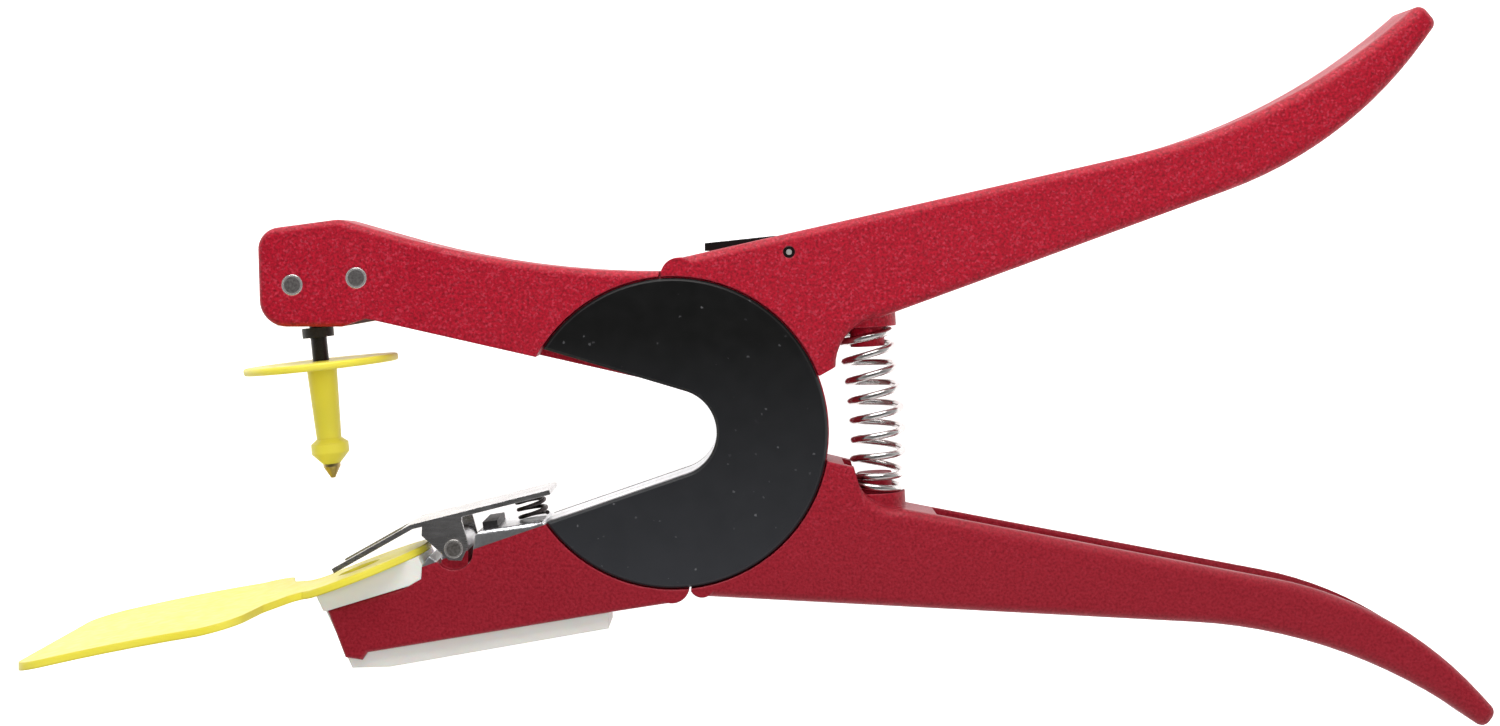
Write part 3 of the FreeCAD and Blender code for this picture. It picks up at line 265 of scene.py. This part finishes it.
@dataclass(frozen=True)
class PowderCoat:
    """Crimson powder coat with fine wrinkles and the throat's bare metal, with light and shade painted in:
    lighter towards the upper jaw's side, painted glints, painted shade between the wrinkles and a painted
    edge highlight with some wear.

    Attributes:
        high: Colour towards the upper jaw's side, painted lighter as painted light from above.
        low: Colour towards the lower jaw's side, painted darker as painted shade.
        painted_glint: Colour of the brightest grains, painted glints.
        grain: Width of a wrinkle, in metres.
        soft_edge: Rounding at the handles' ends, in metres.
        throat: Radius of the throat's round end, in metres.
        throat_slope: Slope of the throat's lower side, in degrees.
        wrinkle_shade: Colour between the wrinkles, painted shade.
        sheen_and_wear: Colour that its edges lean towards: a painted edge highlight together with edge wear.
        metal: The bare metal's darker and brighter colours.
    """

    high: Colour = (0.46, 0.004, 0.022)
    low: Colour = (0.30, 0.010, 0.022)
    painted_glint: Colour = (0.80, 0.10, 0.16)
    grain: float = 0.55 * MM
    soft_edge: float = 3.0 * MM
    throat: float = 8.7 * MM
    throat_slope: float = 19.0
    wrinkle_shade: Colour = (0.20, 0.002, 0.010)
    sheen_and_wear: Colour = (0.62, 0.12, 0.16)
    metal: tuple[Colour, Colour] = ((0.62, 0.62, 0.64), (0.86, 0.86, 0.88))

    def bare(self, g: Graph, x: NodeSocket, y: NodeSocket) -> NodeSocket:
        """Where the castings are bare metal, in the throat.

        Args:
            g: The material's graph.
            x: Distance from the turning axis towards the handles.
            y: Distance from the turning axis towards the upper jaw.

        Returns:
            1 on bare metal and 0 elsewhere.
        """
        limit = self.throat + 0.3 * MM
        a = math.radians(self.throat_slope)
        square = g.math("ADD", g.math("MULTIPLY", x, x), g.math("MULTIPLY", y, y))
        in_round = g.math("LESS_THAN", g.math("SQRT", square), limit)
        along, across = g.math("MULTIPLY", x, math.sin(a)), g.math("MULTIPLY", y, math.cos(a))
        depth = g.math("SUBTRACT", along, across)
        on_side = g.math("LESS_THAN", depth, limit)
        below = g.math("LESS_THAN", y, 0.0)
        before = g.math("LESS_THAN", x, self.throat * math.sin(a))
        side = g.math("MULTIPLY", g.math("MULTIPLY", on_side, below), before)
        return g.math("MAXIMUM", in_round, side)

    def material(self, name: str) -> Material:
        """Builds the material."""
        g = Graph(name)
        x, y, _ = g.axes()
        x, y = g.math("SUBTRACT", x, PIVOT.x), g.math("SUBTRACT", y, PIVOT.y)
        # Painted light and shade: 1 towards the upper jaw's side, where the coat is mixed lighter and has
        # more painted glints, 0 towards the lower jaw's side, where it is darker.
        height = g.ranged(y, -32 * MM, 26 * MM, 0.0, 1.0)
        radius = g.ranged(x, 40 * MM, 150 * MM, 0.5 * MM, self.soft_edge)
        soft = g.rounded(radius)
        wrinkle = g.noise(self.grain, 3.0)
        patches = g.noise(14 * MM, 2.0)
        painted_glint = g.ranged(g.cells(0.42 * MM), 0.72, 1.0, 0.0, 1.0)
        base = g.mix(height, self.low, self.high)
        # Painted shade: the coat is darker between the wrinkles.
        shaded = g.mix(g.ranged(wrinkle, 0.30, 0.62, 1.0, 0.0), base, self.wrinkle_shade)
        # Painted glints: bright grains, whose share grows towards the upper jaw's side.
        share = g.math("MULTIPLY", painted_glint, g.ranged(height, 0.0, 1.0, 0.04, 0.24))
        shade = g.mix(share, shaded, self.painted_glint)
        # Painted edge highlight with some wear: every edge leans to a lighter pink.
        shade = g.mix(g.math("MULTIPLY", g.edge(g.rounded(0.5 * MM)), 0.22), shade, self.sheen_and_wear)
        bare = self.bare(g, x, y)
        rolled = g.noise(0.6 * MM, 2.0, g.centred(PIVOT, (1.0, 1.0, 0.05)))
        metal = g.mix(rolled, *self.metal)
        dull = g.ranged(patches, 0.3, 0.7, 0.40, 0.52)
        g.surface(
            Base_Color=g.mix(bare, shade, metal),
            Metallic=g.math("MAXIMUM", bare, 0.12),
            Specular_IOR_Level=0.35,
            Roughness=g.math("SUBTRACT", dull, g.math("MULTIPLY", bare, 0.16)),
            Normal=g.bump(wrinkle, 0.09 * MM, soft),
        )
        return g.material


@dataclass(frozen=True)
class BlackCoat:
    """Semi-matt black coat with a little dust and patchy roughness, and with a painted reflection that
    lightens it towards the lower jaw's side and a painted edge highlight.

    Attributes:
        dark: Colour towards the upper jaw's side, where the painted reflection is weakest.
        light: Colour towards the lower jaw's side, a painted reflection.
        speck: Colour of the dust.
        edge_round: Rounding of its edges, in metres.
        sheen_and_wear: Colour that its edges lean towards: a painted edge highlight together with edge wear.
    """

    dark: Colour = (0.004, 0.004, 0.004)
    light: Colour = (0.026, 0.027, 0.031)
    speck: Colour = (0.20, 0.20, 0.21)
    edge_round: float = 0.25 * MM
    sheen_and_wear: Colour = (0.16, 0.16, 0.165)

    def material(self, name: str) -> Material:
        """Builds the material."""
        g = Graph(name)
        _, y, _ = g.axes()
        # Painted reflection: lighter towards the lower jaw's side, made blotchy by a noise.
        height = g.ranged(y, PIVOT.y - 30 * MM, PIVOT.y + 20 * MM, 1.0, 0.0)
        cloud = g.noise(9 * MM, 3.0)
        share = g.math("MULTIPLY", height, g.ranged(cloud, 0.2, 0.8, 0.88, 1.04))
        base = g.mix(share, self.dark, self.light)
        dust = g.ranged(g.cells(0.4 * MM), 0.996, 1.0, 0.0, 0.45)
        # Painted edge highlight with some wear: the edges lean to a lighter grey.
        sheen_and_wear = g.math("MULTIPLY", g.edge(g.rounded(self.edge_round)), 0.35)
        g.surface(
            Base_Color=g.mix(sheen_and_wear, g.mix(dust, base, self.speck), self.sheen_and_wear),
            Roughness=g.ranged(g.noise(3 * MM, 3.0), 0.3, 0.7, 0.30, 0.44),
            Specular_IOR_Level=0.32,
            Normal=g.bump(g.noise(0.25 * MM, 2.0), 0.01 * MM, g.rounded(self.edge_round)),
        )
        return g.material


class Rolled(Enum):
    """The direction that a steel's fine lines run in."""

    ALONG = (0.04, 1.0, 1.0)
    ACROSS = (1.0, 1.0, 0.04)
    NONE = (1.0, 1.0, 1.0)


@dataclass(frozen=True)
class Steel:
    """Bare steel with fine rolling lines and faint stains.

    Attributes:
        light: Its brighter colour.
        dark: Its darker colour.
        roughness: Roughness between the lines.
        lines: The direction of the lines.
        line_size: Width of a line, in metres.
        metallic: How metallic it is.
    """

    light: Colour = (0.74, 0.73, 0.73)
    dark: Colour = (0.46, 0.44, 0.44)
    roughness: float = 0.24
    lines: Rolled = Rolled.ALONG
    line_size: float = 0.18 * MM
    metallic: float = 1.0

    def material(self, name: str) -> Material:
        """Builds the material."""
        g = Graph(name)
        streak = g.noise(self.line_size, 2.0, g.centred(PIVOT, self.lines.value))
        stain = g.noise(4 * MM, 3.0)
        shade = g.mix(g.ranged(stain, 0.25, 0.75, 0.0, 1.0), self.light, self.dark)
        g.surface(
            Base_Color=g.mix(g.math("MULTIPLY", streak, 0.35), shade, self.dark),
            Metallic=self.metallic,
            Roughness=g.ranged(streak, 0.2, 0.8, self.roughness - 0.06, self.roughness + 0.12),
            Normal=g.bump(streak, 0.012 * MM, g.rounded(0.15 * MM)),
        )
        return g.material


@dataclass(frozen=True)
class PinEnd:
    """The turned end of a pin, with a painted highlight and painted shade: a bright ring round a dark, flat
    middle.

    Attributes:
        node: The CAD node of the pin, which lies along Z.
        ring: Where the ring starts, as a share of the radius.
        centre: Colour inside the ring.
        rim: Colour of the ring.
        scuffed: Colour of the scuffs inside the ring.
    """

    node: str
    ring: float = 0.80
    centre: Colour = (0.13, 0.12, 0.12)
    rim: Colour = (0.80, 0.78, 0.76)
    scuffed: Colour = (0.34, 0.32, 0.31)

    def material(self, name: str) -> Material:
        """Builds the material."""
        low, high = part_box(self.node)
        radius = (high.x - low.x) / 2
        g = Graph(name)
        out = g.math("DIVIDE", g.length(g.centred(middle(self.node), (1.0, 1.0, 0.0))), radius)
        # Painted highlight and painted shade: one colour for the ring and another for the middle.
        on_ring = g.ranged(out, self.ring - 0.06, self.ring + 0.02, 0.0, 1.0)
        scuff = g.noise(0.5 * MM, 3.0)
        flat = g.mix(g.ranged(scuff, 0.3, 0.7, 0.0, 0.6), self.centre, self.scuffed)
        g.surface(
            Base_Color=g.mix(on_ring, flat, self.rim),
            Metallic=0.8,
            Roughness=g.ranged(on_ring, 0.0, 1.0, 0.5, 0.22),
            Normal=g.bump(scuff, 0.03 * MM, g.rounded(0.35 * MM)),
        )
        return g.material


@dataclass(frozen=True)
class TagPlastic:
    """Soft yellow tag plastic: satin, a little translucent, with painted shade at its edges and hollows.

    Attributes:
        face: Colour of the faces.
        shaded: Colour of the edges and hollows, painted shade.
        pale: Colour of the paler clouds.
    """

    face: Colour = (0.80, 0.70, 0.055)
    shaded: Colour = (0.62, 0.50, 0.015)
    pale: Colour = (0.90, 0.82, 0.16)

    def material(self, name: str) -> Material:
        """Builds the material."""
        g = Graph(name)
        soft = g.rounded(0.7 * MM)
        cloud = g.noise(12 * MM, 2.0)
        shade = g.mix(g.ranged(cloud, 0.3, 0.7, 0.0, 0.28), self.face, self.pale)
        g.surface(
            # Painted shade: the edges and hollows lean to a darker yellow.
            Base_Color=g.mix(g.math("MULTIPLY", g.edge(soft), 0.5), shade, self.shaded),
            Roughness=g.ranged(g.noise(2 * MM, 3.0), 0.3, 0.7, 0.34, 0.46),
            Subsurface_Weight=0.25,
            Subsurface_Scale=1.2 * MM,
            Subsurface_Radius=(1.0, 0.8, 0.2),
            Normal=g.bump(g.noise(0.9 * MM, 3.0), 0.03 * MM, soft),
        )
        return g.material


@dataclass(frozen=True)
class Nylon:
    """Milky moulded nylon.

    Attributes:
        body: Its colour.
        shade: Its colour in the thicker places.
    """

    body: Colour = (0.80, 0.79, 0.75)
    shade: Colour = (0.66, 0.65, 0.60)

    def material(self, name: str) -> Material:
        """Builds the material."""
        g = Graph(name)
        soft = g.rounded(0.4 * MM)
        flow = g.noise(7 * MM, 3.0, g.centred(PIVOT, (0.4, 1.0, 1.0)))
        g.surface(
            Base_Color=g.mix(g.ranged(flow, 0.3, 0.7, 0.0, 0.5), self.body, self.shade),
            Roughness=g.ranged(g.noise(1.2 * MM, 3.0), 0.3, 0.7, 0.38, 0.52),
            Subsurface_Weight=0.35,
            Subsurface_Scale=1.5 * MM,
            Normal=g.bump(g.noise(0.35 * MM, 2.0), 0.012 * MM, soft),
        )
        return g.material


@dataclass(frozen=True)
class Rubber:
    """Black rubber or blackened steel, matt and faintly grained.

    Attributes:
        body: Its colour.
        roughness: Its roughness.
        metallic: How metallic it is.
        sheen_and_wear: Colour of its raised grains.
    """

    body: Colour = (0.012, 0.011, 0.011)
    roughness: float = 0.5
    metallic: float = 0.0
    sheen_and_wear: Colour = (0.05, 0.05, 0.052)

    def material(self, name: str) -> Material:
        """Builds the material."""
        g = Graph(name)
        grain = g.noise(0.3 * MM, 3.0)
        g.surface(
            Base_Color=g.mix(g.ranged(grain, 0.4, 0.8, 0.0, 0.4), self.body, self.sheen_and_wear),
            Metallic=self.metallic,
            Roughness=g.ranged(grain, 0.2, 0.8, self.roughness - 0.08, self.roughness + 0.08),
            Normal=g.bump(grain, 0.02 * MM, g.rounded(0.2 * MM)),
        )
        return g.material


# ---------------------------------------------------------------- pieces


def path_mesh(name: str, points: list[Vector]) -> Mesh:
    """A line of edges through points, for a node tree to follow.

    Args:
        name: The mesh's name.
        points: The line's points, in the row frame.

    Returns:
        The mesh.
    """
    mesh = bpy.data.meshes.new(name)
    mesh.from_pydata(points, [(n, n + 1) for n in range(len(points) - 1)], [])
    return mesh


class CoilTree(Tree):
    """The node tree that winds a round wire about a path, with closed turns at both ends."""

    PATH_POINTS = 420
    WIRE_SIDES = 14

    def __init__(self) -> None:
        """Builds the tree with its named inputs."""
        super().__init__(bpy.data.node_groups.new("coil_about_path", "GeometryNodeTree"))
        face = self.tree.interface
        face.new_socket("Path", in_out="INPUT", socket_type="NodeSocketGeometry")
        for name in ("Coil Radius", "Wire Radius", "Open Turns", "End Turns", "End Share"):
            face.new_socket(name, in_out="INPUT", socket_type="NodeSocketFloat")
        face.new_socket("Finish", in_out="INPUT", socket_type="NodeSocketMaterial")
        face.new_socket("Coil", in_out="OUTPUT", socket_type="NodeSocketGeometry")
        self.ids = {s.name: s.identifier for s in face.items_tree if s.in_out == "INPUT"}
        self.build()

    def turns(self, factor: NodeSocket, given: Node) -> NodeSocket:
        """Turns wound up to a place on the path: quick at both ends and even between them.

        Args:
            factor: The place on the path, from 0 to 1.
            given: The tree's input node.

        Returns:
            The number of turns.
        """
        share, closed = given.outputs["End Share"], given.outputs["End Turns"]
        far = self.math("SUBTRACT", 1.0, share)
        first = self.ranged(factor, 0.0, share, 0.0, closed)
        free = self.ranged(factor, share, far, 0.0, given.outputs["Open Turns"])
        last = self.ranged(factor, far, 1.0, 0.0, closed)
        return self.math("ADD", self.math("ADD", first, free), last)

    def offset(self, given: Node) -> NodeSocket:
        """How far the wire stands off the path at each of its points."""
        factor = self.node("GeometryNodeSplineParameter").outputs["Factor"]
        angle = self.math("MULTIPLY", self.turns(factor, given), 2 * math.pi)
        normal = self.node("GeometryNodeInputNormal").outputs[0]
        tangent = self.node("GeometryNodeInputTangent").outputs[0]
        across = self.vector("CROSS_PRODUCT", tangent, normal)
        out = self.scaled(normal, self.math("COSINE", angle))
        aside = self.scaled(across, self.math("SINE", angle))
        return self.scaled(self.vector("ADD", out, aside), given.outputs["Coil Radius"])

    def build(self) -> None:
        """Adds the nodes from the path to the finished coil."""
        given, result = self.node("NodeGroupInput"), self.node("NodeGroupOutput")
        line = self.node("GeometryNodeMeshToCurve")
        self.put(line.inputs[0], given.outputs["Path"])
        fine = self.node("GeometryNodeResampleCurve")
        self.put(fine.inputs["Curve"], line.outputs[0])
        self.put(fine.inputs["Count"], self.PATH_POINTS)
        moved = self.node("GeometryNodeSetPosition")
        self.put(moved.inputs["Geometry"], fine.outputs[0])
        self.put(moved.inputs["Offset"], self.offset(given))
        ring = self.node("GeometryNodeCurvePrimitiveCircle")
        self.put(ring.inputs["Resolution"], self.WIRE_SIDES)
        self.put(ring.inputs["Radius"], given.outputs["Wire Radius"])
        wire = self.node("GeometryNodeCurveToMesh")
        self.put(wire.inputs["Curve"], moved.outputs[0])
        self.put(wire.inputs["Profile Curve"], ring.outputs[0])
        self.put(wire.inputs["Fill Caps"], True)
        real = self.node("GeometryNodeRealizeInstances")
        self.put(real.inputs[0], wire.outputs[0])
        dressed = self.node("GeometryNodeSetMaterial")
        self.put(dressed.inputs["Geometry"], real.outputs[0])
        self.put(dressed.inputs["Material"], given.outputs["Finish"])
        self.put(result.inputs[0], dressed.outputs[0])


@dataclass
class Spring:
    """A coil spring between two bodies, bowed along a curve.

    Attributes:
        node: The CAD node that it stands for.
        bodies: The body at its start and the body at its end. Not used.
        ends: The curve's two ends and, between them, its two handles, from the pivot.
        coil: Radius to the wire's middle, in metres.
        wire: The wire's radius, in metres.
        open_turns: Turns between the closed ends.
        end_turns: Turns in each closed end.
        end_share: Share of the length that a closed end takes.
        slot: The record's material slot.
    """

    node: str
    bodies: tuple[str, str]
    ends: tuple[Vector, Vector, Vector, Vector]
    coil: float
    wire: float
    open_turns: float
    end_turns: float
    end_share: float
    slot: str

    def build(self, coils: CoilTree, finish: Material) -> Object:
        """Winds the spring and hides the CAD node that it stands for.

        Args:
            coils: The node tree that winds it.
            finish: Its material.

        Returns:
            The finished piece.
        """
        first, near, far, last = self.ends
        line = [Vector(p) for p in interpolate_bezier(first, near, far, last, PATH_STEPS)]
        host = bpy.data.objects.new(self.node + "_path", path_mesh(self.node + "_path", line))
        bpy.context.scene.collection.objects.link(host)
        modifier = host.modifiers.new("coil", "NODES")
        modifier.node_group = coils.tree
        values = {
            "Coil Radius": self.coil,
            "Wire Radius": self.wire,
            "Open Turns": self.open_turns,
            "End Turns": self.end_turns,
            "End Share": self.end_share,
            "Finish": finish,
        }
        for name, value in values.items():
            modifier[coils.ids[name]] = value
        graph = bpy.context.evaluated_depsgraph_get()
        mesh = bpy.data.meshes.new_from_object(host.evaluated_get(graph))
        bpy.data.objects.remove(host)
        mesh.shade_smooth()
        piece = bpy.data.objects.new(self.node + "_wound", mesh)
        bpy.context.scene.collection.objects.link(piece)
        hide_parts(self.node)
        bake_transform(piece)
        return piece


class Finishes:
    """Builds each finish once and lays it on the CAD nodes that have it."""

    def __init__(self) -> None:
        """Makes the materials."""
        bare = Rolled.NONE
        kinds = {
            "crimson_coat": PowderCoat(),
            "black_coat": BlackCoat(),
            "yellow_tag": TagPlastic(),
            "white_nylon": Nylon(),
            "liner_plastic": Nylon(body=(0.62, 0.62, 0.60), shade=(0.5, 0.5, 0.48)),
            "stainless_sheet": Steel(),
            "plain_steel": Steel(roughness=0.3, lines=Rolled.ACROSS),
            "spring_steel": Steel((0.86, 0.84, 0.82), (0.58, 0.55, 0.54), 0.16, bare),
            "dark_wire": Steel((0.16, 0.14, 0.14), (0.05, 0.04, 0.04), 0.32, bare),
            "brass_point": Steel((0.62, 0.50, 0.24), (0.36, 0.27, 0.10), 0.3, bare),
            "black_rubber": Rubber(),
            "black_steel": Rubber((0.010, 0.009, 0.009), 0.36, 0.3),
        }
        self.plain = {name: kind.material(name) for name, kind in kinds.items()}
        self.nodes = {
            "upper_jaw_arm": "crimson_coat",
            "lower_jaw_arm": "crimson_coat",
            "front_cover": "black_coat",
            "rear_cover": "black_coat",
            "lock_lever": "black_coat",
            "cover_studs": "plain_steel",
            "pin_carrier": "plain_steel",
            "web_liner": "liner_plastic",
            "pin_collar": "black_rubber",
            "clip_buffer": "black_rubber",
            "applicator_pin": "black_steel",
            "male_tag": "yellow_tag",
            "female_tag": "yellow_tag",
            "male_tag_point": "brass_point",
            "tag_insert": "white_nylon",
            "tag_clip": "stainless_sheet",
        }
        self.ends = {
            "front_dowel": PinEnd("front_dowel"),
            "rear_dowel": PinEnd("rear_dowel"),
            "lock_lever_pin": PinEnd(
                "lock_lever_pin", ring=0.5, centre=(0.72, 0.70, 0.68), rim=(0.03, 0.02, 0.02)
            ),
            "clip_pivot": PinEnd("clip_pivot", ring=0.78, centre=(0.10, 0.09, 0.08), rim=(0.55, 0.52, 0.50)),
        }

    def lay(self, nodes: dict[str, Object]) -> None:
        """Gives each CAD node its material.

        Args:
            nodes: The frame's nodes by name.
        """
        for node, finish in self.nodes.items():
            self.put(nodes[node], self.plain[finish])
        for node, finish in self.ends.items():
            self.put(nodes[node], finish.material(node + "_finish"))

    @staticmethod
    def put(piece: Object, material: Material) -> None:
        """Lays one material on a whole piece."""
        piece.data.materials.clear()
        piece.data.materials.append(material)
        log.info("%s is finished in %s", piece.name, material.name)


# ---------------------------------------------------------------- studio


@dataclass(frozen=True)
class Lamp:
    """A square soft light aimed at the object.

    Attributes:
        name: Its name.
        place: Where it stands, in metres.
        size: Its side, in metres.
        power: Its power, in watts.
        mirrored: Whether glossy surfaces show it.
    """

    name: str
    place: tuple[float, float, float]
    size: float
    power: float
    mirrored: bool = True

    def build(self) -> None:
        """Hangs the lamp and turns it towards the frame's origin."""
        data = bpy.data.lights.new(self.name, "AREA")
        data.size = self.size
        data.energy = self.power
        lamp = bpy.data.objects.new(self.name, data)
        lamp.location = self.place
        lamp.visible_glossy = self.mirrored
        lamp.rotation_euler = (-Vector(self.place)).to_track_quat("-Z", "Y").to_euler()
        bpy.context.scene.collection.objects.link(lamp)


@dataclass(frozen=True)
class Studio:
    """Pale floor, soft lights and the camera, straight above the tool's plane.

    Attributes:
        distance: Camera to the castings' near face, in metres.
        width: Width of the view on that face, in metres.
        foot: How far above the middle of the view the camera stands, in metres.
        aim: Middle of the view, in millimetres from the arms' turning axis.
        sensor: Width of the camera's sensor, in millimetres.
        low_light: Height where the sky starts to fade, and its strength there.
        high_light: Height where the sky is dimmest, and its strength there.
        floor_half: Half of the floor's side, in metres.
        floor_drop: Distance from the object down to the floor, in metres.
        floor_shade: Brightness of the floor's own colour.
        floor_glow: Strength of the floor's glow where it is seen.
        lamps: The lamps.
    """

    distance: float = 0.440
    width: float = 0.300
    foot: float = 0.0226
    aim: tuple[float, float] = (15.4, 14.0)
    sensor: float = 36.0
    low_light: tuple[float, float] = (0.15, 0.62)
    high_light: tuple[float, float] = (0.95, 0.10)
    floor_half: float = 4.0
    floor_drop: float = 0.2 * MM
    floor_shade: float = 0.80
    floor_glow: float = 0.80
    lamps: tuple[Lamp, ...] = (
        Lamp("key", (-0.10, 0.75, 0.40), 0.7, 6.0),
        Lamp("front", (0.15, 0.10, 1.10), 0.6, 6.0, mirrored=False),
        Lamp("fill", (0.30, -0.60, 0.50), 0.9, 1.2),
    )

    def camera(self) -> None:
        """Places the camera and shifts its view back to the middle."""
        data = bpy.data.cameras.new("camera")
        data.sensor_width = self.sensor
        data.lens = data.sensor_width * self.distance / self.width
        data.shift_y = -self.foot / self.width
        data.clip_start = 0.01
        view = bpy.data.objects.new("camera", data)
        near_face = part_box("lower_jaw_arm")[1].z
        centre = from_pivot(*self.aim)
        view.location = (centre.x, centre.y + self.foot, near_face + self.distance)
        bpy.context.scene.collection.objects.link(view)
        bpy.context.scene.camera = view

    def seen(self, tree: Tree) -> NodeSocket:
        """1 for the rays that show the background: straight, mirrored or through glass."""
        path = tree.node("ShaderNodeLightPath").outputs
        bounced = tree.math("MAXIMUM", path["Is Camera Ray"], path["Is Glossy Ray"])
        return tree.math("MAXIMUM", bounced, path["Is Transmission Ray"])

    def sky(self) -> None:
        """A white background, whose light on the object fades from the horizon upwards."""
        world = bpy.data.worlds.new("studio")
        world.use_nodes = True
        bpy.context.scene.world = world
        tree = Tree(world.node_tree)
        height = tree.node("ShaderNodeSeparateXYZ")
        tree.put(height.inputs[0], tree.node("ShaderNodeTexCoord").outputs["Generated"])
        (low, bright), (high, dim) = self.low_light, self.high_light
        plain, white = world.node_tree.nodes["Background"], tree.node("ShaderNodeBackground")
        for backdrop in (plain, white):
            tree.put(backdrop.inputs["Color"], (*WHITE, 1.0))
        tree.put(plain.inputs["Strength"], tree.ranged(height.outputs["Z"], low, high, bright, dim))
        mixed = tree.node("ShaderNodeMixShader")
        shown = tree.node("ShaderNodeLightPath").outputs["Is Camera Ray"]
        for socket, value in zip(mixed.inputs, (shown, plain.outputs[0], white.outputs[0])):
            tree.put(socket, value)
        tree.put(world.node_tree.nodes["World Output"].inputs["Surface"], mixed.outputs[0])

    def floor(self) -> None:
        """A wide pale floor just under the object."""
        mesh = bpy.data.meshes.new("floor")
        shape = bmesh.new()
        bmesh.ops.create_grid(shape, x_segments=1, y_segments=1, size=self.floor_half)
        bmesh.ops.translate(shape, verts=shape.verts, vec=(0, 0, -self.floor_drop))
        shape.to_mesh(mesh)
        shape.free()
        floor = bpy.data.objects.new("floor", mesh)
        bpy.context.scene.collection.objects.link(floor)
        g = Graph("pale_floor")
        g.surface(
            Base_Color=(*(self.floor_shade,) * 3, 1.0),
            Roughness=0.9,
            Emission_Color=(*WHITE, 1.0),
            Emission_Strength=g.math("MULTIPLY", self.seen(g), self.floor_glow),
        )
        mesh.materials.append(g.material)

    def build(self) -> None:
        """Sets up the whole studio."""
        bpy.context.scene.view_settings.view_transform = "Standard"
        self.camera()
        self.sky()
        self.floor()
        for lamp in self.lamps:
            lamp.build()


def springs() -> list[Spring]:
    """The handle spring and the clip's spring."""
    return [
        Spring(
            "handle_spring",
            ("lower_jaw", "upper_jaw"),
            (
                from_pivot(38.8, 20.2),
                from_pivot(40.6, 9.0),
                from_pivot(42.6, -2.0),
                from_pivot(41.0, -11.8),
            ),
            coil=5.05 * MM,
            wire=0.75 * MM,
            open_turns=7.0,
            end_turns=1.0,
            end_share=0.05,
            slot="spring_steel",
        ),
        Spring(
            "clip_spring",
            ("lower_jaw", "clip"),
            (
                from_pivot(-28.65, -17.6),
                from_pivot(-28.95, -16.4),
                from_pivot(-29.2, -15.2),
                from_pivot(-29.6, -13.9),
            ),
            coil=2.8 * MM,
            wire=0.42 * MM,
            open_turns=2.0,
            end_turns=0.5,
            end_share=0.08,
            slot="dark_wire",
        ),
    ]


def main() -> None:
    """Builds the dressed object."""
    logging.basicConfig(level=logging.INFO, format="%(name)s: %(message)s")
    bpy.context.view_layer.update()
    Studio().build()
    finishes = Finishes()
    finishes.lay(frame["nodes"])
    coils = CoilTree()
    for spring in springs():
        piece = spring.build(coils, finishes.plain[spring.slot])
        log.info("%s has %d faces", piece.name, len(piece.data.polygons))


if __name__ == "__main__":
    main()
